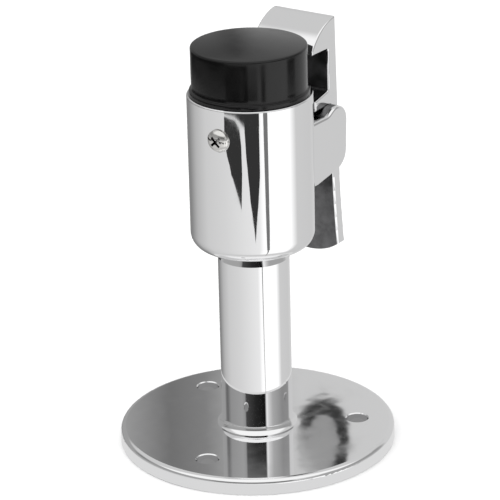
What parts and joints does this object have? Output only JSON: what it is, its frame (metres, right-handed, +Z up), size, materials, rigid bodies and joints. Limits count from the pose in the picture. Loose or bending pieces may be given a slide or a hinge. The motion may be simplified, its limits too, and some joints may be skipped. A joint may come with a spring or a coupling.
{
  "type": "door stop with hook holder",
  "caption": "Post-mounted door stop: round screw flange, round post, cup head with a black rubber bumper, and a wide sprung hook lever pivoted between two cheeks that latches the open door.",
  "frame": {"origin": "centre of the flange's underside, the face that goes against the wall or floor", "axes": "+Z up the post to the rubber bumper; +Y to the side of the head that carries the hook lever; +X along the hook lever's pivot pin"},
  "size_m": [0.07, 0.07, 0.1068],
  "materials": {
    "chrome": "polished chrome plate",
    "rubber": "smooth moulded black rubber",
    "nickel": "bright nickel plate",
    "steel": "zinc-plated turned steel",
    "spring_steel": "bright drawn wire",
    "black_steel": "black oxide"
  },
  "bodies": {
    "stand": {"base_flange": "chrome", "post": "chrome", "base_screw": "black_steel", "head_housing": "chrome", "head_bolt": "black_steel", "lock_washer": "steel", "bumper": "rubber", "bumper_core": "steel", "bumper_screw": "nickel", "pivot_pin": "steel", "lever_spring": "spring_steel"},
    "lever": {"hook_lever": "chrome"}
  },
  "joints": [
    {"name": "hook_pivot", "type": "hinge", "parent": "stand", "child": "lever", "pos_m": [0, 0.0205, 0.077], "axis": [-1, 0, 0], "range_deg": [0, 20], "stiffness_Nm_per_rad": 0.06, "springref_deg": -20.05, "deforming": ["lever_spring"]}
  ]
}
